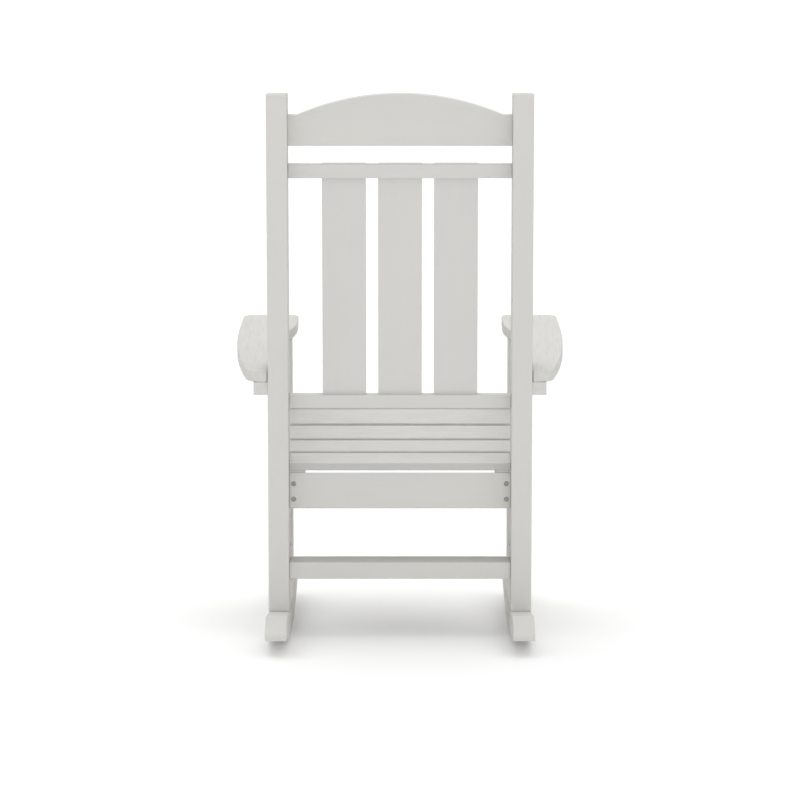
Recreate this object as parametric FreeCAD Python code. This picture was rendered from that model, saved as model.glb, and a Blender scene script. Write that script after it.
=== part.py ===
import FreeCAD, Part
import math
import os

# Rocking adirondack chair in solid poly lumber boards.
# Frame: +Z up, floor at Z = 0 under the lowest line of the rockers, the
# chair's front toward -Y, its back toward +Y, X across.  Origin at the bottom
# centre of the whole chair.  Millimetres.  The side with negative X is
# the sitter's right hand.

# ---------------------------------------------------------------- driving sizes
POST_OUT = 248.5        # outer face of posts, legs and rockers
POST_IN = 209.5         # inner face of the back posts (board 39 mm)
ROCKER_IN = 208.2       # inner face of the rockers (board 40.3 mm)
LEG_IN = 214.5          # inner face of the front legs (board 34 mm)
ROCKER_TOP = 52.3       # height of the posts' rear bottom edge, on the rockers
POST_LEAN = 2.58        # rake of the lower part of the posts, degrees
BACK_RAKE = 5.6         # rake of the back above the seat, degrees
BEND_Z = ROCKER_TOP + 300.0      # height of the bend in the posts
POST_TOP_Z = ROCKER_TOP + 979.0  # top of the posts
POST_DEPTH = 89.0       # front-to-back size of a post at the foot and seat
POST_DEPTH_TOP = 78.0   # the same at the top
LEG_DEPTH = 89.0        # front-to-back size of a front leg
LEG_LEAN = 5.3          # rake of the front legs, degrees
LEG_FRONT_Y = -511.0    # front edge of the leg at ROCKER_TOP
ARM_SLOPE = 6.76        # the arms rise toward the front, degrees
ARM_REAR_Z = ROCKER_TOP + 458.0  # top of the arm at its rear end
ARM_REAR_Y = 25.0
ARM_THICK = 20.5
ROCKER_RADIUS = 2530.0  # radius of the running edge
ROCKER_LOW_Y = -168.4   # the running edge is lowest here, under the chair's
                        # centre of mass
SLAT_THICK = 16.0       # back slats and seat slats
SLAT_WIDE = 81.8        # back slats
SLAT_PITCH = 104.7
RAIL_THICK = 24.0       # crest and back rails
RAIL_RECESS = 30.0      # rails set in from the rear face of the posts
CREST_LOW_Z = ROCKER_TOP + 880.7
CREST_SHOULDER_Z = ROCKER_TOP + 937.7
CREST_TOP_Z = ROCKER_TOP + 977.3
SEAT_RAIL_THICK = 22.0
CLEAT_THICK = 11.8
APRON_RECESS = 36.0
EDGE_R = 2.6            # rounded edges of every board
END_R = 2.3             # eased edges of the sawn ends
HEAD_D = 10.0           # screw heads
SHANK_D = 5.0

os.makedirs("parts", exist_ok=True)
V = FreeCAD.Vector
PARTS = {}


def rad(a):
    return math.radians(a)


def face_of(edges):
    return Part.Face(Part.Wire(edges))


def poly_yz(pts, x0, x1):
    """Closed outline of (y, z) points, extruded from x0 to x1."""
    vs = [V(x0, p[0], p[1]) for p in pts]
    vs.append(vs[0])
    return Part.Face(Part.makePolygon(vs)).extrude(V(x1 - x0, 0, 0))


def mirror_x(shape):
    return shape.mirror(V(0, 0, 0), V(1, 0, 0))


def round_poly(pts, x0, x1):
    """Closed outline of (y, z, r) corners, each with its own tangent arc
    (r = 0 keeps it sharp), extruded from x0 to x1."""
    n = len(pts)
    ends = []
    for k in range(n):
        a, b, c = V(x0, *pts[k - 1][:2]), V(x0, *pts[k][:2]), V(x0, *pts[(k + 1) % n][:2])
        r = pts[k][2]
        if r <= 0:
            ends.append((b, None, b))
            continue
        u, w = (a - b), (c - b)
        u.normalize()
        w.normalize()
        half = u.getAngle(w) / 2.0
        d = r / math.tan(half)
        bis = u + w
        bis.normalize()
        centre = b + bis * (r / math.sin(half))
        m = centre - bis * r
        ends.append((b + u * d, m, b + w * d))
    es = []
    for k in range(n):
        s0, m, s1 = ends[k]
        if m is not None:
            es.append(Part.Arc(s0, m, s1).toShape())
        nxt = ends[(k + 1) % n][0]
        if (nxt - s1).Length > 1e-6:
            es.append(Part.LineSegment(s1, nxt).toShape())
    return face_of(es).extrude(V(x1 - x0, 0, 0))


def soften(shape, r=EDGE_R, pick=None, name=""):
    """Round the picked edges (all of them if pick is None)."""
    edges = [e for e in shape.Edges if pick is None or pick(e)]
    for rr in (r, r * 0.8, r * 0.6, r * 0.35):
        try:
            s = shape.makeFillet(rr, edges)
            if s.isValid() and s.Volume > 0 and len(s.Solids) == 1:
                return s.Solids[0]
        except Exception:
            pass
    print("not rounded", name, len(edges))
    return shape


def along_x(e):
    """Edge runs along X."""
    if e.Curve.TypeId != "Part::GeomLine":
        return False
    t = e.tangentAt(e.FirstParameter)
    return abs(t.x) > 0.999


def keep(name, shape):
    PARTS[name] = shape


# ------------------------------------------------------------------ screws
def screw(at, direction, length, head=HEAD_D, shank=SHANK_D, sink=0.4, entry_len=1.0, dome=0.0):
    """Flat-headed screw: at = centre of the head's face on the board's
    surface, direction = the way it is driven.  The head sits sink below the
    surface and has a square driver recess; dome is the height of a low
    raised centre.  Returns (screw, bore)."""
    p = V(*at)
    d = V(*direction)
    d.normalize()
    hp = p + d * sink
    hh = 2.2
    head_s = Part.makeCylinder(head / 2.0, hh, hp, d)
    cone = Part.makeCone(head / 2.0, shank / 2.0, (head - shank) / 2.0, hp + d * hh, d)
    sh = Part.makeCylinder(shank / 2.0, length - 2.0, hp + d * 2.0, d)
    tip = Part.makeCone(shank / 2.0, 0.4, 4.0, hp + d * length, d)
    pieces = [cone, sh, tip]
    if dome > 0:
        rc = head / 2.0 - 0.7
        rs = (rc * rc + dome * dome) / (2.0 * dome)
        ball = Part.makeSphere(rs, hp + d * (rs - dome))
        pieces.append(ball.common(Part.makeCylinder(rc, dome + 0.3, hp - d * dome, d)))
    body = head_s.fuse(pieces).removeSplitter()
    # square driver recess
    ax = V(1, 0, 0) if abs(d.x) < 0.9 else V(0, 1, 0)
    u = d.cross(ax)
    u.normalize()
    w = d.cross(u)
    w.normalize()
    a = 1.6
    o = hp - d * dome
    q = [o + u * a + w * a, o - u * a + w * a, o - u * a - w * a, o + u * a - w * a]
    rec = Part.Face(Part.makePolygon(q + [q[0]])).extrude(d * (1.8 + dome))
    body_cut = body.cut(rec)
    entry = Part.makeCylinder(head / 2.0, sink + entry_len, p - d * entry_len, d)
    bore = body.fuse(entry).removeSplitter()
    return body_cut, bore


SCREWS = {}


def add_screw(group, at, direction, length, boards, **kw):
    s, b = screw(at, direction, length, **kw)
    SCREWS.setdefault(group, []).append(s)
    for n in boards:
        PARTS[n] = PARTS[n].cut(b)


# ------------------------------------------------------------------ profiles
R = ROCKER_RADIUS
LOW = ROCKER_LOW_Y


def run_z(y):
    """Height of the running edge."""
    return R - math.sqrt(R * R - (y - LOW) ** 2)


# the rocker's top edge is concentric with its running edge
R_TOP = math.hypot(R - ROCKER_TOP, LOW)


def top_z(y):
    """Height of the rocker's top edge."""
    return R - math.sqrt(R_TOP * R_TOP - (y - LOW) ** 2)


TL = math.tan(rad(POST_LEAN))
TB = math.tan(rad(BACK_RAKE))
BEND_Y = (BEND_Z - ROCKER_TOP) * TL


def post_rear_y(z):
    if z <= BEND_Z:
        return (z - ROCKER_TOP) * TL
    return BEND_Y + (z - BEND_Z) * TB


def back_point(t, h):
    """Point of the back plane: t forward of the posts' rear face, h up along
    the raked part of the posts, from the bend."""
    sr, cr = math.sin(rad(BACK_RAKE)), math.cos(rad(BACK_RAKE))
    return (BEND_Y + h * sr - t * cr, BEND_Z + h * cr + t * sr)


# ------------------------------------------------------------------ back posts
fd = POST_DEPTH / math.cos(rad(POST_LEAN))
ft = POST_DEPTH_TOP / math.cos(rad(BACK_RAKE))
yt = post_rear_y(POST_TOP_Z)
post_pts = [
    (0.0, ROCKER_TOP, 0.0), (BEND_Y, BEND_Z, 500.0), (yt, POST_TOP_Z, 8.5),
    (yt - ft, POST_TOP_Z, 8.5), (BEND_Y - fd + 1.5, BEND_Z + 8.0, 500.0), (-fd, top_z(-fd), 0.0)]
post = round_poly(post_pts, POST_IN, POST_OUT)


def near(e, y, z, tol=0.6):
    m = e.valueAt((e.FirstParameter + e.LastParameter) / 2.0)
    return abs(m.y - y) < tol and abs(m.z - z) < tol


def side_outline(e, zmin=None):
    """Edges lying wholly in one X plane (the outlines of the two side faces)."""
    b = e.BoundBox
    if b.XLength > 1e-3:
        return False
    if zmin is not None and b.ZMax < zmin:
        return False
    return True


post = soften(post, 2.4, lambda e: side_outline(e, ROCKER_TOP + 0.5), "post sides")


def foot(e):
    """Edges of the sawn foot, which stands on the rocker."""
    b = e.BoundBox
    return b.ZMax < ROCKER_TOP + 12.0 and b.ZLength < 6.0


post = soften(post, 2.2, foot, "post foot")
keep("back_post_left", post)

# ------------------------------------------------------------------ front legs
tl = math.tan(rad(LEG_LEAN))
ta = math.tan(rad(ARM_SLOPE))


def arm_top_z(y):
    return ARM_REAR_Z + (ARM_REAR_Y - y) * ta


def arm_low_z(y):
    return arm_top_z(y) - ARM_THICK / math.cos(rad(ARM_SLOPE))


def leg_front_y(z):
    return LEG_FRONT_Y + (z - ROCKER_TOP) * tl


ld = LEG_DEPTH / math.cos(rad(LEG_LEAN))


def leg_top(offset):
    """Where a leg edge (offset behind the front edge) meets the arm."""
    z = 500.0
    for _ in range(30):
        y = leg_front_y(z) + offset
        z = arm_low_z(y)
    return (leg_front_y(z) + offset, z)


lf = leg_top(0.0)
lr = leg_top(ld)
yb0 = LEG_FRONT_Y
yb1 = LEG_FRONT_Y + ld
for _ in range(20):
    yb0 = leg_front_y(top_z(yb0))
    yb1 = leg_front_y(top_z(yb1)) + ld
leg = poly_yz([(yb0, top_z(yb0)), lf, lr, (yb1, top_z(yb1))], LEG_IN, POST_OUT)


def leg_long(e):
    b = e.BoundBox
    return b.XLength < 1e-3 and b.ZLength > 200.0


leg = soften(leg, 2.4, leg_long, "leg")
leg = soften(leg, 2.0, foot, "leg foot")
keep("front_leg_left", leg)

# ------------------------------------------------------------------ rockers
TAIL_TOP = (159.0, top_z(159.0))
TAIL_TIP = (236.0, ROCKER_TOP - 12.6)
tail_low_y = 221.0
NOSE_TOP = (-566.0, top_z(-566.0))
NOSE_TIP = (-603.0, run_z(-594.0) + 17.0)
nose_low_y = -594.0


def vec(y, z):
    return V(ROCKER_IN, y, z)


def arc_edge(f, ya, yb):
    """Arc of the curve f from ya to yb."""
    ym = (ya + yb) / 2.0
    return Part.Arc(vec(ya, f(ya)), vec(ym, f(ym)), vec(yb, f(yb))).toShape()


def seg(a, b):
    return Part.LineSegment(vec(*a), vec(*b)).toShape()


# straight under the post and under the leg, curved between and beyond
post_seat = (0.0, -fd)
leg_seat = (yb1, yb0)
edges = [
    seg((post_seat[0], top_z(post_seat[0])), (post_seat[1], top_z(post_seat[1]))),
    arc_edge(top_z, post_seat[1], leg_seat[0]),
    seg((leg_seat[0], top_z(leg_seat[0])), (leg_seat[1], top_z(leg_seat[1]))),
    arc_edge(top_z, leg_seat[1], NOSE_TOP[0]),
    seg(NOSE_TOP, NOSE_TIP),
    seg(NOSE_TIP, (nose_low_y, run_z(nose_low_y))),
    arc_edge(run_z, nose_low_y, tail_low_y),
    seg((tail_low_y, run_z(tail_low_y)), TAIL_TIP),
    seg(TAIL_TIP, TAIL_TOP),
    arc_edge(top_z, TAIL_TOP[0], post_seat[0]),
]
rocker = face_of(edges).extrude(V(POST_OUT - ROCKER_IN, 0, 0))
rocker = soften(rocker, 7.0, lambda e: along_x(e) and (near(e, *TAIL_TIP) or near(e, tail_low_y, run_z(tail_low_y))
                                                         or near(e, *NOSE_TIP) or near(e, nose_low_y, run_z(nose_low_y))), "rocker ends")
rocker = soften(rocker, 5.0, lambda e: along_x(e) and (near(e, *TAIL_TOP) or near(e, *NOSE_TOP)), "rocker shoulders")
rocker = soften(rocker, 2.4, side_outline, "rocker sides")
keep("rocker_left", rocker)

# ------------------------------------------------------------------ seat profile
# tops of the seat slats, rear to front: (rear y, rear z, front y, front z)
S0 = ROCKER_TOP
SEAT = [
    ((-18.0, S0 + 280.9), (-106.0, S0 + 290.2)),
    ((-113.0, S0 + 293.4), (-200.5, S0 + 304.6)),
    ((-207.5, S0 + 307.9), (-294.5, S0 + 323.6)),
    ((-301.0, S0 + 327.4), (-387.5, S0 + 346.6)),
]
NOSE = ((-394.0, S0 + 348.2), (-480.0, S0 + 337.6))
SEAT_NAMES = ["seat_slat_rear", "seat_slat_third", "seat_slat_second", "seat_slat_first"]
SEAT_HALF = [209.2, 220.0, 220.0, 220.0]
SLAT_R = 1.2                            # edges of the seat slats
REAR_BEVEL = 4.5                        # the rear edge slopes in under the seat


def under(a, b, t=SLAT_THICK):
    """The two lower corners of a slat whose top runs from a to b (forward)."""
    dy, dz = b[0] - a[0], b[1] - a[1]
    n = math.hypot(dy, dz)
    ny, nz = dz / n * t, -dy / n * t      # points down when b is forward of a
    return (a[0] - ny, a[1] - nz), (b[0] - ny, b[1] - nz)


# ------------------------------------------------------------------ seat rails
rail_pts = []
for a, b in SEAT + [NOSE]:
    ua, ub = under(a, b)
    rail_pts.append(ua)
    rail_pts.append(ub)

RAIL_REAR_Y = post_rear_y(S0 + 230.0) - APRON_RECESS - 22.0
RAIL_FRONT_Y = -456.0
RAIL_LOW_REAR = S0 + 197.0
RAIL_LOW_SLOPE = 0.0835


def rail_low_z(y):
    return RAIL_LOW_REAR + (RAIL_REAR_Y - y) * RAIL_LOW_SLOPE


def z_on(pts, y):
    for p, q in zip(pts, pts[1:]):
        if (p[0] - y) * (q[0] - y) <= 0:
            f = (y - p[0]) / (q[0] - p[0])
            return p[1] + f * (q[1] - p[1])
    return pts[-1][1]


z_rf = z_on(rail_pts, RAIL_FRONT_Y)
# a lip at the rear laps over the top edge of the rear apron
LIP_Y = RAIL_REAR_Y + 20.4
APRON_TOP = S0 + 261.6
LIP_Z = APRON_TOP + 0.2
rail_outline = ([(LIP_Y, z_on(rail_pts, LIP_Y))] + [q for q in rail_pts if RAIL_FRONT_Y < q[0] < LIP_Y] +
                [(RAIL_FRONT_Y, z_rf), (RAIL_FRONT_Y, rail_low_z(RAIL_FRONT_Y)), (RAIL_REAR_Y, rail_low_z(RAIL_REAR_Y)),
                 (RAIL_REAR_Y, LIP_Z), (LIP_Y, LIP_Z)])
seat_rail = poly_yz(rail_outline, LEG_IN - SEAT_RAIL_THICK, LEG_IN)


def low_long(e):
    b = e.BoundBox
    m = e.valueAt((e.FirstParameter + e.LastParameter) / 2.0)
    return b.XLength < 1e-3 and b.YLength > 300.0 and m.z < S0 + 260


seat_rail = soften(seat_rail, 2.4, low_long, "seat rail")
keep("seat_rail_left", seat_rail)
# the posts are housed for the seat rails
housing = poly_yz(rail_outline, LEG_IN - SEAT_RAIL_THICK, LEG_IN)
PARTS["back_post_left"] = PARTS["back_post_left"].cut(housing)

# cleats under the slats, on the inner faces of the rails
CL_REAR = RAIL_REAR_Y - 0.6
CL_FRONT = -455.0
ctop = [p for p in rail_pts if CL_FRONT < p[0] < LIP_Y]
cl_out = [(CL_REAR, LIP_Z), (LIP_Y, LIP_Z), (LIP_Y, z_on(rail_pts, LIP_Y))] + ctop + [(CL_FRONT, z_on(rail_pts, CL_FRONT))]
cl_low = [(CL_FRONT, z_on(rail_pts, CL_FRONT) - 30.0), (-301.0, z_on(rail_pts, -301.0) - 22.0), (CL_REAR, z_on(rail_pts, CL_REAR) - 20.0)]
cleat = poly_yz(cl_out + cl_low, LEG_IN - SEAT_RAIL_THICK - CLEAT_THICK, LEG_IN - SEAT_RAIL_THICK)
keep("seat_cleat_left", cleat)


# ------------------------------------------------------------------ seat slats
def seat_board(a, b, half, t=SLAT_THICK):
    ua, ub = under(a, b, t)
    s = poly_yz([a, b, ub, ua], -half, half)
    return s


for name, (a, b), half in zip(SEAT_NAMES, SEAT, SEAT_HALF):
    s = seat_board(a, b, half)
    if name == "seat_slat_rear":
        # the rear edge in sight is bevelled
        ua, ub = under(a, b)
        low = (ua[0] - REAR_BEVEL, ua[1] + REAR_BEVEL * (b[1] - a[1]) / (a[0] - b[0]))
        s = poly_yz([a, b, ub, low], -half, half)
        s = soften(s, 3.0, lambda e: along_x(e) and near(e, *low), name)
        s = soften(s, SLAT_R, lambda e: along_x(e) and (near(e, *a) or near(e, *b) or near(e, *ub)), name)
        s = soften(s, SLAT_R, side_outline, name)
    else:
        s = soften(s, EDGE_R, lambda e: along_x(e) and near(e, *a), name)
        s = soften(s, SLAT_R, lambda e: along_x(e) and (near(e, *b) or near(e, *under(a, b)[0]) or near(e, *under(a, b)[1])), name)
        s = soften(s, SLAT_R, side_outline, name)
    keep(name, s)

nose = seat_board(NOSE[0], NOSE[1], LEG_IN - 1.2)
nose = soften(nose, 9.0, lambda e: along_x(e) and near(e, *NOSE[1]), "nose")
nose = soften(nose, 2.4, lambda e: side_outline(e), "nose sides")
keep("seat_nosing", nose)

# ------------------------------------------------------------------ aprons
def butt_end(e):
    """Outline of the two sawn ends of a board that lies across."""
    b = e.BoundBox
    return b.XLength < 1e-3 and abs(b.XMin) > 200.0


AR_Y = RAIL_REAR_Y + 22.0                # rear face of the rear apron
# its top edge falls away to the front
rear_apron = poly_yz([(AR_Y, S0 + 193.2), (AR_Y, APRON_TOP), (RAIL_REAR_Y, APRON_TOP - 2.6), (RAIL_REAR_Y, S0 + 193.2)],
                     -POST_IN, POST_IN)
rear_apron = soften(rear_apron, 2.2, lambda e: along_x(e) and e.valueAt(e.FirstParameter).z < S0 + 200, "rear apron")
rear_apron = soften(rear_apron, 0.9, lambda e: along_x(e) and e.valueAt(e.FirstParameter).z > APRON_TOP - 1.0, "rear apron top")
rear_apron = soften(rear_apron, END_R, butt_end, "rear apron ends")
keep("rear_apron", rear_apron)

AF_TOP = z_on(list(under(*NOSE)), RAIL_FRONT_Y - 22.0)
front_apron = Part.makeBox(2 * LEG_IN - 2.4, 22.0, 76.0, V(1.2 - LEG_IN, RAIL_FRONT_Y - 22.0, AF_TOP - 1.0 - 76.0))
front_apron = soften(front_apron, EDGE_R, along_x, "front apron")
front_apron = soften(front_apron, END_R, butt_end, "front apron ends")
keep("front_apron", front_apron)

# ------------------------------------------------------------------ stretcher
ST_Y = -6.0
stretcher = Part.makeBox(2 * POST_IN, 86.0, 31.8, V(-POST_IN, ST_Y - 86.0, S0 + 61.3))
stretcher = soften(stretcher, EDGE_R, along_x, "stretcher")
stretcher = soften(stretcher, END_R, butt_end, "stretcher ends")
keep("rear_stretcher", stretcher)


# ------------------------------------------------------------------ back frame
def back_board(x0, x1, t0, t1, h0, h1):
    """Board in the back plane, t0..t1 forward of the posts' rear face."""
    pts = [back_point(t0, h0), back_point(t0, h1), back_point(t1, h1), back_point(t1, h0)]
    return poly_yz(pts, x0, x1)


T0, T1 = RAIL_RECESS, RAIL_RECESS + RAIL_THICK
TS = T1 - SLAT_THICK


def h_from_rear_edge(z, t=T0):
    """h of a level z measured on the plane t."""
    return (z - BEND_Z - t * math.sin(rad(BACK_RAKE))) / math.cos(rad(BACK_RAKE))


UR0, UR1 = h_from_rear_edge(S0 + 820.4), h_from_rear_edge(S0 + 845.8)
LR0, LR1 = h_from_rear_edge(S0 + 385.3), h_from_rear_edge(S0 + 410.6)
upper = back_board(-POST_IN, POST_IN, T0, T1, UR0, UR1)
lower = back_board(-POST_IN, POST_IN, T0, T1, LR0, LR1)
upper = soften(upper, 1.1, along_x, "upper rail")
lower = soften(lower, 1.1, along_x, "lower rail")
upper = soften(upper, END_R, butt_end, "upper rail ends")
lower = soften(lower, END_R, butt_end, "lower rail ends")

slats = []
for xc in (-SLAT_PITCH, 0.0, SLAT_PITCH):
    s = back_board(xc - SLAT_WIDE / 2, xc + SLAT_WIDE / 2, TS, T1, LR0 + 4.0, UR1 + 1.2)
    s = soften(s, 1.8, None, "back slat")
    slats.append(s)
    pocket = back_board(xc - SLAT_WIDE / 2, xc + SLAT_WIDE / 2, TS, T1 + 2.0, UR0 - 2.0, UR1 + 4.0)
    upper = upper.cut(pocket)
    pocket = back_board(xc - SLAT_WIDE / 2, xc + SLAT_WIDE / 2, TS, T1 + 2.0, LR0 + 4.0, LR1 + 4.0)
    lower = lower.cut(pocket)
keep("upper_back_rail", upper)
keep("lower_back_rail", lower)
keep("back_slat_left", slats[2])
keep("back_slat_centre", slats[1])
keep("back_slat_right", slats[0])

# crest: flat shoulders, then a low arch; drawn upright (x, z), then raked
CH0 = h_from_rear_edge(CREST_LOW_Z)
CHS = h_from_rear_edge(CREST_SHOULDER_Z)
CHT = h_from_rear_edge(CREST_TOP_Z)
ARCH_X = 191.0


def cv(x, h):
    return V(x, 0, h)


c_edges = [
    Part.LineSegment(cv(-POST_IN, CH0), cv(POST_IN, CH0)).toShape(),
    Part.LineSegment(cv(POST_IN, CH0), cv(POST_IN, CHS)).toShape(),
    Part.LineSegment(cv(POST_IN, CHS), cv(ARCH_X, CHS)).toShape(),
    Part.Arc(cv(ARCH_X, CHS), cv(0, CHT), cv(-ARCH_X, CHS)).toShape(),
    Part.LineSegment(cv(-ARCH_X, CHS), cv(-POST_IN, CHS)).toShape(),
    Part.LineSegment(cv(-POST_IN, CHS), cv(-POST_IN, CH0)).toShape(),
]
crest = face_of(c_edges).extrude(V(0, RAIL_THICK, 0))


def crest_round(e):
    b = e.BoundBox
    if b.YLength > 1e-3:
        return False
    return not (b.XLength < 1e-3)          # leave the two butt ends square


crest = soften(crest, 1.4, crest_round, "crest")
crest = soften(crest, END_R, butt_end, "crest ends")
# y 0..RAIL_THICK becomes t from T1 back to T0
crest.translate(V(0, -T1, 0))
crest.rotate(V(0, 0, 0), V(1, 0, 0), -BACK_RAKE)
crest.translate(V(0, BEND_Y, BEND_Z))
keep("crest_rail", crest)


# ------------------------------------------------------------------ arms
# plan outline in (x, y) of the arm's top face, y measured level along the chair
GAP_X = POST_OUT + 1.0
ARM_FRONT_Y = -529.0
ARM_REAR_END = 25.2


def on_arm(p):
    """Level distances become distances along the sloping arm."""
    return V(p[0], ARM_REAR_Y - (ARM_REAR_Y - p[1]) / math.cos(rad(ARM_SLOPE)), 0)


arm_outer = [(313.4, ARM_FRONT_Y), (315.0, -468.0), (317.3, -385.0), (317.3, -296.0), (312.8, -182.0),
             (303.4, -84.0), (295.6, -30.0), (286.0, ARM_REAR_END)]
arm_inner = [(GAP_X, -96.0), (247.0, -180.0), (240.0, -258.0), (229.8, -322.0), (217.2, -371.0), (208.6, -406.0),
             (204.6, -440.0), (203.8, -480.0), (204.0, ARM_FRONT_Y)]
o = Part.BSplineCurve()
o.interpolate([on_arm(p) for p in arm_outer])
i = Part.BSplineCurve()
i.interpolate(Points=[on_arm(p) for p in arm_inner], InitialTangent=V(0, -1, 0), FinalTangent=V(0, -1, 0))
arm_edges = [
    o.toShape(),
    Part.LineSegment(on_arm(arm_outer[-1]), on_arm((GAP_X, ARM_REAR_END))).toShape(),
    Part.LineSegment(on_arm((GAP_X, ARM_REAR_END)), on_arm(arm_inner[0])).toShape(),
    i.toShape(),
    Part.LineSegment(on_arm(arm_inner[-1]), on_arm(arm_outer[0])).toShape(),
]
arm = Part.Face(Part.Wire(Part.__sortEdges__(arm_edges))).extrude(V(0, 0, -ARM_THICK))


def corner_at(p):
    q = on_arm(p)

    def pick(e):
        b = e.BoundBox
        return b.XLength < 1e-3 and b.YLength < 1e-3 and abs(b.XMin - q.x) < 0.5 and abs(b.YMin - q.y) < 0.5
    return pick


arm = soften(arm, 20.0, corner_at(arm_outer[0]), "arm front outer corner")
arm = soften(arm, 14.0, corner_at(arm_inner[-1]), "arm front inner corner")
arm = soften(arm, 30.0, corner_at(arm_outer[-1]), "arm rear outer corner")
arm = soften(arm, 3.0, corner_at((GAP_X, ARM_REAR_END)), "arm rear inner corner")


def arm_round(e):
    b = e.BoundBox
    return b.ZLength < 1e-3


arm = soften(arm, EDGE_R, arm_round, "arm")
arm.rotate(V(0, ARM_REAR_Y, 0), V(1, 0, 0), -ARM_SLOPE)
arm.translate(V(0, 0, ARM_REAR_Z))
keep("arm_left", arm)

# block under the rear end of the arm, on the post's outer face
BL_Y0, BL_Y1 = 22.0, -44.0
z_a = arm_low_z(BL_Y0)
z_b = arm_low_z(BL_Y1)
block = poly_yz([(BL_Y0, z_a), (BL_Y1, z_b), (BL_Y1, z_b - 24.6), (BL_Y0, z_a - 24.6)], POST_OUT, 275.0)
block = soften(block, 2.0, lambda e: along_x(e) and e.valueAt(e.FirstParameter).z < min(z_a, z_b) - 5, "arm block")
keep("arm_block_left", block)

# ------------------------------------------------------------------ mirrored side
for n in ("back_post", "front_leg", "rocker", "seat_rail", "seat_cleat", "arm", "arm_block"):
    keep(n + "_right", mirror_x(PARTS[n + "_left"]))

# ------------------------------------------------------------------ fasteners
for sx, side in ((1, "left"), (-1, "right")):
    post_n, leg_n, rock_n = "back_post_" + side, "front_leg_" + side, "rocker_" + side
    rail_n, cleat_n, arm_n, blk_n = "seat_rail_" + side, "seat_cleat_" + side, "arm_" + side, "arm_block_" + side
    xin = (LEG_IN - SEAT_RAIL_THICK)
    # rear apron into the ends of the seat rails: two each side, heads in sight
    for dz in (240.4, 210.9):
        add_screw("rear_apron_screws", (sx * 201.4, AR_Y, S0 + dz), (0, -1, 0), 55.0, ["rear_apron", rail_n],
                  sink=1.7, dome=1.4)
    # front apron into the front ends of the seat rails
    for k in (24.0, 54.0):
        add_screw("front_apron_screws", (sx * 203.0, RAIL_FRONT_Y - 22.0, AF_TOP - 1.0 - k), (0, 1, 0), 55.0, ["front_apron", rail_n])
    # seat rails to posts and legs, driven from the inner face
    for y, dz in ((-62.0, 225.5), (-62.0, 259.0)):
        add_screw("seat_rail_screws", (sx * xin, y, S0 + dz), (sx, 0, 0), 48.0, [rail_n, post_n])
    for y, dz in ((-416.0, 253.0), (-416.0, 284.0), (-443.0, 253.0), (-443.0, 284.0)):
        add_screw("seat_rail_screws", (sx * xin, y, S0 + dz), (sx, 0, 0), 48.0, [rail_n, leg_n])
    # crest, back rails and stretcher, driven through the posts' outer faces
    tm = (T0 + T1) / 2.0
    for h in (CH0 + 16.0, CHS - 14.0):
        y, z = back_point(tm, h)
        add_screw("post_screws", (sx * POST_OUT, y, z), (-sx, 0, 0), 75.0, [post_n, "crest_rail"])
    for h0, h1, n in ((UR0, UR1, "upper_back_rail"), (LR0, LR1, "lower_back_rail")):
        y, z = back_point(tm, (h0 + h1) / 2.0)
        add_screw("post_screws", (sx * POST_OUT, y, z), (-sx, 0, 0), 75.0, [post_n, n])
    for dy in (22.0, 62.0):
        add_screw("post_screws", (sx * POST_OUT, ST_Y - dy, S0 + 77.2), (-sx, 0, 0), 75.0, [post_n, "rear_stretcher"])
    # posts and legs stand on the rockers, screwed from below in counterbores
    for y in (-24.0, -66.0):
        z = run_z(y)
        add_screw("rocker_screws", (sx * 229.0, y, z + 18.0), (0, 0, 1), 96.0, [rock_n, post_n], head=11.0, shank=6.0)
        PARTS[rock_n] = PARTS[rock_n].cut(Part.makeCylinder(6.0, 24.0, V(sx * 229.0, y, z - 5.0), V(0, 0, 1)))
    for y in (-446.0, -488.0):
        z = run_z(y)
        add_screw("rocker_screws", (sx * 231.5, y, z + 18.0), (0, 0, 1), 96.0, [rock_n, leg_n], head=11.0, shank=6.0)
        PARTS[rock_n] = PARTS[rock_n].cut(Part.makeCylinder(6.0, 24.0, V(sx * 231.5, y, z - 5.0), V(0, 0, 1)))
    # two screws set in the rear face of each front leg, driven down into the rocker
    zt = S0 + 75.5
    yl = leg_front_y(zt) + ld
    for x in (221.5, 241.0):
        a = rad(50.0)
        add_screw("leg_toe_screws", (sx * x, yl - 5.0 * math.cos(a), zt - 5.0 * math.sin(a)), (0, -math.cos(a), -math.sin(a)), 112.0,
                  [leg_n, rock_n], head=8.6, shank=5.0, sink=1.0, entry_len=12.0)
    # arm block to post, and block up into the arm
    for y in (2.0, -26.0):
        zz = arm_low_z(y) - 12.3
        add_screw("arm_block_screws", (sx * 275.0, y, zz), (-sx, 0, 0), 58.0, [blk_n, post_n])
    for y in (-12.0,):
        zz = arm_low_z(y) - 24.6
        add_screw("arm_screws", (sx * 263.0, y, zz), (0, 0, 1), 38.0, [blk_n, arm_n])
    # front leg up into the arm, from the leg's inner face
    for off in (26.0, 62.0):
        z = arm_low_z(-462.0) - 42.0
        y = leg_front_y(z) + off
        a = rad(68.0)
        add_screw("arm_screws", (sx * (LEG_IN + 8.5), y, z), (sx * math.cos(a), 0, math.sin(a)), 52.0, [leg_n, arm_n],
                  sink=1.0, head=9.0, entry_len=44.0)

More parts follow.
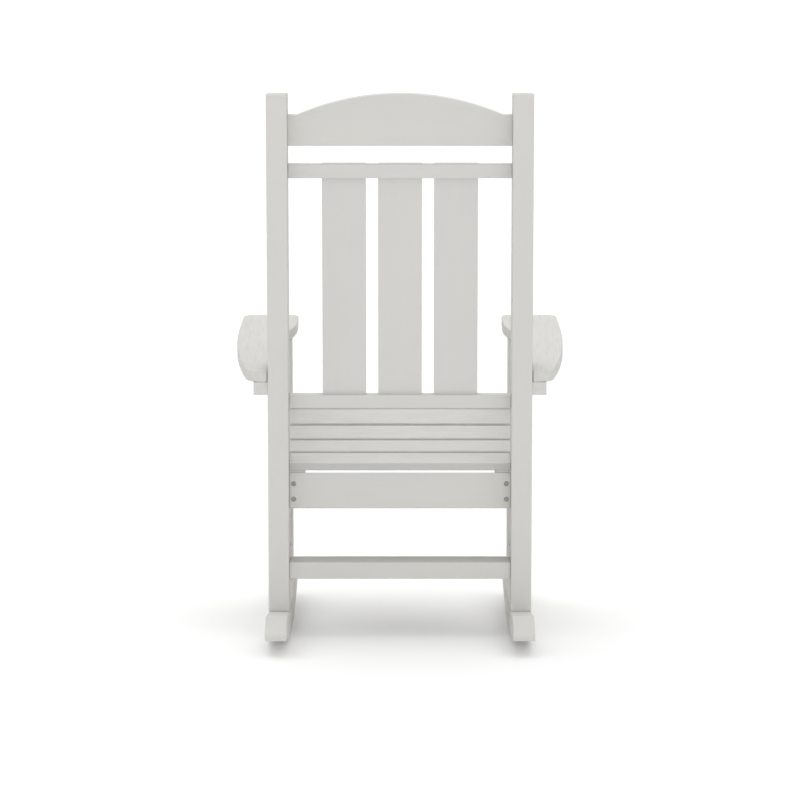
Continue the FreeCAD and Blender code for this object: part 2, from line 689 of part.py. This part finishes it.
# seat slats, two screws at each end, driven up through the cleats
XC = LEG_IN - SEAT_RAIL_THICK - CLEAT_THICK / 2.0
for (a, b), name in list(zip(SEAT, SEAT_NAMES)) + [(NOSE, "seat_nosing")]:
    ua, ub = under(a, b)
    dy, dz = b[0] - a[0], b[1] - a[1]
    n = math.hypot(dy, dz)
    for frac in ((0.22, 0.78) if name != "seat_nosing" else (0.2, 0.6)):
        fy = ua[0] + (ub[0] - ua[0]) * frac
        if name == "seat_slat_rear" and frac < 0.5:
            fy = ua[0] + (ub[0] - ua[0]) * 0.52
        # start on the cleat's lower face, straight below the slat
        pts_low = [(CL_REAR, z_on(rail_pts, CL_REAR) - 20.0), (-301.0, z_on(rail_pts, -301.0) - 22.0), (CL_FRONT, z_on(rail_pts, CL_FRONT) - 30.0)]
        zl = z_on(pts_low, fy)
        for sx, side in ((1, "left"), (-1, "right")):
            add_screw("seat_slat_screws", (sx * XC, fy, zl), (0, 0, 1), 26.0, ["seat_cleat_" + side, name], head=8.0, shank=4.0)

# cleats to rails
for y in (-100.0, -250.0, -345.0):
    z = z_on(rail_pts, y) - 12.5
    for sx, side in ((1, "left"), (-1, "right")):
        add_screw("cleat_screws", (sx * (LEG_IN - SEAT_RAIL_THICK - CLEAT_THICK), y, z), (sx, 0, 0), 27.0,
                  ["seat_cleat_" + side, "seat_rail_" + side], head=8.0, shank=4.0)

# back slats to the two rails, two screws at each end, heads on the sitter's side
for xc, n in ((-SLAT_PITCH, "back_slat_right"), (0.0, "back_slat_centre"), (SLAT_PITCH, "back_slat_left")):
    for h, rn in (((UR0 + UR1) / 2.0, "upper_back_rail"), ((LR0 + LR1) / 2.0 + 1.0, "lower_back_rail")):
        for dx in (-24.0, 24.0):
            y, z = back_point(T1, h)
            d = (0, math.cos(rad(BACK_RAKE)), -math.sin(rad(BACK_RAKE)))
            add_screw("back_slat_screws", (xc + dx, y, z), d, 19.0, [n, rn], head=8.0, shank=4.0)

# ------------------------------------------------------------------ write
for n, group in SCREWS.items():
    keep(n, Part.makeCompound(group))

boxes = [PARTS[n].optimalBoundingBox(False) for n in ("rocker_left", "arm_left", "back_post_left", "front_apron")]
y0 = min(b.YMin for b in boxes)
y1 = max(b.YMax for b in boxes)
shift = -(y0 + y1) / 2.0
print("box before shift Y", round(y0, 2), round(y1, 2), "shift", round(shift, 3))
vol = {}
for n, s in PARTS.items():
    s = s.copy()
    s.translate(V(0, shift, 0))
    sol = s.Solids
    if n not in SCREWS:
        if len(sol) != 1:
            print("SOLIDS", n, len(sol))
        s = sol[0] if len(sol) == 1 else s
    if not s.isValid():
        print("INVALID", n)
    PARTS[n] = s
    s.exportStep("parts/%s.step" % n)

m = 0.0
c = V(0, 0, 0)
for n, s in PARTS.items():
    rho = 7.9e-6 if n in SCREWS else 0.93e-6
    for q in s.Solids:
        w = q.Volume * rho
        m += w
        c = c + q.CenterOfMass * w
c = c * (1.0 / m)
print("nodes", len(PARTS), "mass kg", round(m, 2), "centre of mass", round(c.x, 2), round(c.y, 2), round(c.z, 2),
      "lowest line at", round(ROCKER_LOW_Y + shift, 2))
ob = {n: s.optimalBoundingBox(False) for n, s in PARTS.items() if n not in SCREWS}
bb = [min(b.XMin for b in ob.values()), max(b.XMax for b in ob.values()),
      min(b.YMin for b in ob.values()), max(b.YMax for b in ob.values()),
      min(b.ZMin for b in ob.values()), max(b.ZMax for b in ob.values())]
print("box", [round(v, 2) for v in bb])
print("crest top", round(ob["crest_rail"].ZMax, 2), "post top", round(ob["back_post_left"].ZMax, 2), "arm", round(ob["arm_left"].YMin, 1), round(ob["arm_left"].ZMax, 1))
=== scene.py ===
import math

import bmesh
import bpy
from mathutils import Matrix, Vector

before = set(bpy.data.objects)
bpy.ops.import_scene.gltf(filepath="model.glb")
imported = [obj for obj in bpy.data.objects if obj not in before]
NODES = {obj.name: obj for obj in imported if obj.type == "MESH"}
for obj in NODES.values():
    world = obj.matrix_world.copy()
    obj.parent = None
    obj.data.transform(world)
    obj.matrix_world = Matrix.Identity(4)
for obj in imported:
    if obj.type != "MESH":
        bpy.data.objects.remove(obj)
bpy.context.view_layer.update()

# ------------------------------------------------------------------ helpers


def lin(c):
    """sRGB 0-255 to linear."""
    out = []
    for v in c:
        v = v / 255.0
        out.append(v / 12.92 if v <= 0.04045 else ((v + 0.055) / 1.055) ** 2.4)
    return out


class Tree:
    """Small helper to lay out a node tree."""

    def __init__(self, name):
        self.mat = bpy.data.materials.new(name)
        self.mat.use_nodes = True
        self.nt = self.mat.node_tree
        self.nt.nodes.clear()

    def node(self, kind, **kw):
        n = self.nt.nodes.new(kind)
        for k, v in kw.items():
            setattr(n, k, v)
        return n

    def link(self, a, b):
        self.nt.links.new(a, b)

    def value(self, socket, v):
        socket.default_value = v

    def math(self, op, a, b=None, c=None, clamp=False):
        n = self.node("ShaderNodeMath", operation=op, use_clamp=clamp)
        for i, x in enumerate((a, b, c)):
            if x is None:
                continue
            if isinstance(x, (int, float)):
                n.inputs[i].default_value = x
            else:
                self.link(x, n.inputs[i])
        return n.outputs[0]

    def ramp(self, fac, stops, interp="LINEAR"):
        n = self.node("ShaderNodeValToRGB")
        n.color_ramp.interpolation = interp
        els = n.color_ramp.elements
        while len(els) < len(stops):
            els.new(0.5)
        for e, (p, c) in zip(els, stops):
            e.position = p
            e.color = (c, c, c, 1.0) if isinstance(c, (int, float)) else (*c, 1.0)
        self.link(fac, n.inputs[0])
        return n.outputs[0]

    def noise(self, vec, scale, detail=2.0, rough=0.5, dist=0.0):
        n = self.node("ShaderNodeTexNoise")
        n.inputs["Scale"].default_value = scale
        n.inputs["Detail"].default_value = detail
        n.inputs["Roughness"].default_value = rough
        n.inputs["Distortion"].default_value = dist
        self.link(vec, n.inputs["Vector"])
        return n.outputs[0]

    def mix(self, fac, a, b, mode="MIX"):
        n = self.node("ShaderNodeMix", data_type="RGBA", blend_type=mode)
        for s, x in ((n.inputs[0], fac), (n.inputs[6], a), (n.inputs[7], b)):
            if isinstance(x, (int, float)):
                s.default_value = x
            elif isinstance(x, (tuple, list)):
                s.default_value = (*x, 1.0)
            else:
                self.link(x, s)
        return n.outputs[2]


# ------------------------------------------------------------------ lumber
LUMBER = lin((211.6, 210.8, 207.8))


def lumber(name, along, face, seed, emboss=1.0, figure_size=(24.0, 105.0), tone=1.0):
    """Matt plastic lumber.  along = direction of the board's length, face =
    normal of its wide faces, both in the row frame; seed shifts the grain so
    that no two boards match."""
    t = Tree("lumber_" + name)
    x = Vector(along).normalized()
    z = (Vector(face) - x * Vector(face).dot(x)).normalized()
    y = z.cross(x)
    coord = t.node("ShaderNodeTexCoord")
    # board space: u along the board, v across its face, w through it
    comps = []
    for axis in (x, y, z):
        d = t.node("ShaderNodeVectorMath", operation="DOT_PRODUCT")
        t.link(coord.outputs["Object"], d.inputs[0])
        d.inputs[1].default_value = axis
        comps.append(d.outputs["Value"])
    u, v, w = comps
    u = t.math("ADD", u, seed * 1.37)
    v = t.math("ADD", v, seed * 0.731)
    w = t.math("ADD", w, seed * 0.419)

    def space(su, sv, sw):
        c = t.node("ShaderNodeCombineXYZ")
        t.link(t.math("MULTIPLY", u, su), c.inputs[0])
        t.link(t.math("MULTIPLY", v, sv), c.inputs[1])
        t.link(t.math("MULTIPLY", w, sw), c.inputs[2])
        return c.outputs[0]

    # long wandering grain lines of the embossing roll
    wander = t.noise(space(3.2, 9.0, 9.0), 1.0, 2.0, 0.5)
    wander = t.math("MULTIPLY", t.math("SUBTRACT", wander, 0.5), 0.014)
    vv = t.math("ADD", v, wander)
    c = t.node("ShaderNodeCombineXYZ")
    t.link(t.math("MULTIPLY", u, 16.0), c.inputs[0])
    t.link(t.math("MULTIPLY", vv, 230.0), c.inputs[1])
    t.link(t.math("MULTIPLY", w, 30.0), c.inputs[2])
    lines = t.noise(c.outputs[0], 1.0, 3.0, 0.55)
    # cathedral arches: rings of a stretched, tilted cone
    c2 = t.node("ShaderNodeCombineXYZ")
    t.link(t.math("MULTIPLY", u, 1.7), c2.inputs[0])
    t.link(t.math("MULTIPLY", vv, 26.0), c2.inputs[1])
    t.link(t.math("MULTIPLY", w, 4.0), c2.inputs[2])
    blotch = t.noise(c2.outputs[0], 1.0, 1.5, 0.45)
    rings = t.math("SINE", t.math("MULTIPLY", blotch, 78.0))
    rings = t.math("MULTIPLY", rings, 0.5)
    grain = t.math("ADD", t.math("MULTIPLY", lines, 1.0), t.math("MULTIPLY", rings, 0.16))
    grooves = t.ramp(grain, [(0.36, 0.0), (0.50, 1.0)], "EASE")
    # streaks of the embossed figure, a few millimetres wide
    c3 = t.node("ShaderNodeCombineXYZ")
    t.link(t.math("MULTIPLY", u, figure_size[0]), c3.inputs[0])
    t.link(t.math("MULTIPLY", vv, figure_size[1]), c3.inputs[1])
    t.link(t.math("MULTIPLY", w, 30.0), c3.inputs[2])
    figure = t.noise(c3.outputs[0], 1.0, 3.0, 0.62, 0.6)
    figure = t.ramp(figure, [(0.36, 0.0), (0.62, 1.0)], "EASE")
    # short fine ticks (pores) in the grooves
    ticks = t.noise(space(60.0, 900.0, 200.0), 1.0, 1.0, 0.5)
    ticks = t.ramp(ticks, [(0.30, 0.0), (0.46, 1.0)], "EASE")
    # orange-peel skin of the extruded plastic
    skin = t.noise(space(420.0, 520.0, 520.0), 1.0, 2.0, 0.6)
    # slow unevenness in colour along and across the board, faint flecks
    slow = t.noise(space(2.3, 11.0, 11.0), 1.0, 2.0, 0.5)
    flecks = t.noise(space(170.0, 420.0, 420.0), 1.0, 2.0, 0.7)
    flecks = t.ramp(flecks, [(0.64, 0.0), (0.74, 1.0)])

    base = [c * tone for c in LUMBER]
    warm = [base[0] * 1.012, base[1] * 1.004, base[2] * 0.985]
    cool = [base[0] * 0.975, base[1] * 0.980, base[2] * 0.985]
    deep = [base[0] * 0.86, base[1] * 0.855, base[2] * 0.845]
    col = t.mix(t.ramp(slow, [(0.30, 0.0), (0.70, 1.0)]), cool, warm)
    col = t.mix(t.math("MULTIPLY", t.math("SUBTRACT", 1.0, grooves), 0.30 * emboss), col, deep)
    col = t.mix(t.math("MULTIPLY", t.math("SUBTRACT", 1.0, figure), 0.38 * emboss), col, deep)
    col = t.mix(t.math("MULTIPLY", t.math("SUBTRACT", 1.0, ticks), 0.16 * emboss), col, deep)
    col = t.mix(t.math("MULTIPLY", flecks, 0.10), col, deep)

    rough = t.math("ADD", 0.56, t.math("MULTIPLY", slow, 0.10))
    rough = t.math("ADD", rough, t.math("MULTIPLY", t.math("SUBTRACT", 1.0, grooves), 0.10))

    h = t.math("MULTIPLY", grooves, 0.75)
    h = t.math("ADD", h, t.math("MULTIPLY", ticks, 0.30))
    h = t.math("ADD", h, t.math("MULTIPLY", figure, 0.55))
    h = t.math("ADD", h, t.math("MULTIPLY", skin, 0.16))
    bump = t.node("ShaderNodeBump")
    bump.inputs["Strength"].default_value = 0.42 * emboss
    bump.inputs["Distance"].default_value = 0.0006
    t.link(h, bump.inputs["Height"])

    b = t.node("ShaderNodeBsdfPrincipled")
    t.link(col, b.inputs["Base Color"])
    t.link(rough, b.inputs["Roughness"])
    t.link(bump.outputs[0], b.inputs["Normal"])
    b.inputs["IOR"].default_value = 1.5
    b.inputs["Specular IOR Level"].default_value = 0.35
    o = t.node("ShaderNodeOutputMaterial")
    t.link(b.outputs[0], o.inputs[0])
    return t.mat


def steel(name):
    """Stainless screw: grey metal with a slow mottle and fine darker specks, finely bumped."""
    t = Tree(name)
    coord = t.node("ShaderNodeTexCoord")
    n1 = t.noise(coord.outputs["Object"], 900.0, 3.0, 0.6)
    n2 = t.noise(coord.outputs["Object"], 140.0, 2.0, 0.5)
    col = t.mix(t.ramp(n2, [(0.3, 0.0), (0.7, 1.0)]), lin((136, 135, 132)), lin((158, 157, 153)))
    col = t.mix(t.math("MULTIPLY", t.ramp(n1, [(0.55, 0.0), (0.75, 1.0)]), 0.35), col, lin((100, 98, 94)))
    rough = t.math("ADD", 0.22, t.math("MULTIPLY", n1, 0.2))
    bump = t.node("ShaderNodeBump")
    bump.inputs["Strength"].default_value = 0.2
    bump.inputs["Distance"].default_value = 0.0001
    t.link(n1, bump.inputs["Height"])
    b = t.node("ShaderNodeBsdfPrincipled")
    t.link(col, b.inputs["Base Color"])
    t.link(rough, b.inputs["Roughness"])
    b.inputs["Metallic"].default_value = 0.9
    t.link(bump.outputs[0], b.inputs["Normal"])
    o = t.node("ShaderNodeOutputMaterial")
    t.link(b.outputs[0], o.inputs[0])
    return t.mat


def rad(a):
    return math.radians(a)


# direction of each board's length and the normal of its wide faces
POST = (0.0, math.sin(rad(4.6)), math.cos(rad(4.6)))
LEG = (0.0, math.sin(rad(5.3)), math.cos(rad(5.3)))
ARM = (0.0, -math.cos(rad(6.76)), math.sin(rad(6.76)))
ARM_UP = (0.0, math.sin(rad(6.76)), math.cos(rad(6.76)))
BACK = (0.0, math.sin(rad(5.6)), math.cos(rad(5.6)))
BACK_N = (0.0, math.cos(rad(5.6)), -math.sin(rad(5.6)))
X, Y, Z = (1, 0, 0), (0, 1, 0), (0, 0, 1)
BOARDS = {
    "back_post_left": (POST, X, 0.10),
    "back_post_right": (POST, X, 0.10),
    "front_leg_left": (LEG, X, 0.3),
    "front_leg_right": (LEG, X, 0.3),
    "rocker_left": (Y, X, 0.12),
    "rocker_right": (Y, X, 0.12),
    "seat_rail_left": (Y, X, 0.4),
    "seat_rail_right": (Y, X, 0.4),
    "seat_cleat_left": (Y, X, 0.4),
    "seat_cleat_right": (Y, X, 0.4),
    "rear_apron": (X, Y, 0.14),
    "front_apron": (X, Y, 0.4),
    "rear_stretcher": (X, Z, 0.2),
    "seat_slat_rear": (X, Z, 1.0),
    "seat_slat_third": (X, Z, 1.0),
    "seat_slat_second": (X, Z, 1.0),
    "seat_slat_first": (X, Z, 1.0),
    "seat_nosing": (X, Z, 1.0),
    "crest_rail": (X, BACK_N, 0.10),
    "upper_back_rail": (X, BACK_N, 0.10),
    "lower_back_rail": (X, BACK_N, 0.10),
    "back_slat_left": (BACK, BACK_N, 0.10),
    "back_slat_centre": (BACK, BACK_N, 0.10),
    "back_slat_right": (BACK, BACK_N, 0.10),
    "arm_left": (ARM, ARM_UP, 0.8),
    "arm_right": (ARM, ARM_UP, 0.8),
    "arm_block_left": (ARM, X, 0.3),
    "arm_block_right": (ARM, X, 0.3),
}


def assign(o, mat):
    o.data.materials.clear()
    o.data.materials.append(mat)
    for p in o.data.polygons:
        p.material_index = 0


for k, (name, (along, face, emb)) in enumerate(sorted(BOARDS.items())):
    size = (9.0, 200.0) if name.startswith("arm_l") or name.startswith("arm_r") else (20.0, 120.0)
    assign(NODES[name], lumber(name, along, face, 1.0 + 0.618 * k, emb, size))

# the rear slat's bevelled edge gets its own lumber material with fainter grain, 14% darker in colour:
# painted shade on the downward-facing bevel
o = NODES["seat_slat_rear"]
o.data.materials.append(lumber("seat_slat_rear_edge_painted_shade", X, Y, 31.0, 0.3, (20.0, 120.0), 0.86))
rear = max(v.co.y for v in o.data.vertices)
# faces of the rear bevel take the darker painted-shade material
for p in o.data.polygons:
    if p.normal.y > 0.5 and p.normal.z < 0.12 and p.center.y > rear - 0.012:
        p.material_index = 1

STEEL = steel("screw_steel")
for name, o in NODES.items():
    if name.endswith("_screws"):
        assign(o, STEEL)

# ------------------------------------------------------------------ stage
bm = bmesh.new()
S = 400.0
vs = [bm.verts.new(p) for p in ((-S, -S, 0), (S, -S, 0), (S, S, 0), (-S, S, 0))]
bm.faces.new(vs)
me = bpy.data.meshes.new("floor")
bm.to_mesh(me)
bm.free()
floor = bpy.data.objects.new("floor", me)
bpy.context.scene.collection.objects.link(floor)
t = Tree("floor_white")
b = t.node("ShaderNodeBsdfPrincipled")
b.inputs["Base Color"].default_value = (0.94, 0.94, 0.94, 1.0)
b.inputs["Roughness"].default_value = 0.9
b.inputs["Specular IOR Level"].default_value = 0.0
b.inputs["Emission Color"].default_value = (1.0, 1.0, 1.0, 1.0)
b.inputs["Emission Strength"].default_value = 0.06
o = t.node("ShaderNodeOutputMaterial")
t.link(b.outputs[0], o.inputs[0])
me.materials.append(t.mat)

# ------------------------------------------------------------------ light
scene = bpy.context.scene
scene.view_settings.view_transform = "Standard"
scene.view_settings.look = "None"
scene.view_settings.exposure = 0.0
scene.view_settings.gamma = 1.0

LIGHT = 0.84
# a soft dome: an even part, and broad soft boxes as lobes of it, each with its
# azimuth (0 = behind the chair), elevation and strength
EVEN = 0.36
BOXES = [
    (0, 90, 1.26),
    (0, 45, 0.44),
    (90, 45, 0.76),
    (135, 45, 0.34),
    (180, 45, 1.85),
    (270, 45, 0.51),
    (315, 45, 0.57),
    (0, 12, 1.14),
    (90, 12, 0.16),
]
world = bpy.data.worlds.new("studio")
scene.world = world
world.use_nodes = True
wt = world.node_tree
wt.nodes.clear()


def wmath(op, a, b):
    n = wt.nodes.new("ShaderNodeMath")
    n.operation = op
    for k, x in enumerate((a, b)):
        if isinstance(x, (int, float)):
            n.inputs[k].default_value = x
        else:
            wt.links.new(x, n.inputs[k])
    return n.outputs[0]


direction = wt.nodes.new("ShaderNodeTexCoord").outputs["Generated"]
total = None
for az, el, power in BOXES:
    d = wt.nodes.new("ShaderNodeVectorMath")
    d.operation = "DOT_PRODUCT"
    wt.links.new(direction, d.inputs[0])
    d.inputs[1].default_value = (math.sin(rad(az)) * math.cos(rad(el)), math.cos(rad(az)) * math.cos(rad(el)), math.sin(rad(el)))
    lobe = wmath("MULTIPLY", wmath("POWER", wmath("MAXIMUM", d.outputs["Value"], 0.0), 8.0), power * LIGHT)
    total = wmath("ADD", lobe, EVEN * LIGHT) if total is None else wmath("ADD", total, lobe)
bg = wt.nodes.new("ShaderNodeBackground")
bg.inputs[0].default_value = (1.0, 1.0, 1.0, 1.0)
wt.links.new(total, bg.inputs[1])
# seen directly, the studio is plain white
white = wt.nodes.new("ShaderNodeBackground")
white.inputs[0].default_value = (1.0, 1.0, 1.0, 1.0)
white.inputs[1].default_value = 1.05
ray = wt.nodes.new("ShaderNodeLightPath")
mixer = wt.nodes.new("ShaderNodeMixShader")
wt.links.new(ray.outputs["Is Camera Ray"], mixer.inputs[0])
wt.links.new(bg.outputs[0], mixer.inputs[1])
wt.links.new(white.outputs[0], mixer.inputs[2])
wo = wt.nodes.new("ShaderNodeOutputWorld")
wt.links.new(mixer.outputs[0], wo.inputs[0])

# ------------------------------------------------------------------ camera
cam_data = bpy.data.cameras.new("camera")
cam_data.sensor_width = 36.0
cam_data.lens = 3975.0 / 800.0 * 36.0
cam_data.clip_start = 0.1
cam_data.clip_end = 200.0
cam = bpy.data.objects.new("camera", cam_data)
scene.collection.objects.link(cam)
cam.location = (0.0, 7.6358, 1.1716)
cam.rotation_euler = (rad(84.5), 0.0, rad(180.0))
scene.camera = cam

# ------------------------------------------------------------------ view layer update
bpy.context.view_layer.update()
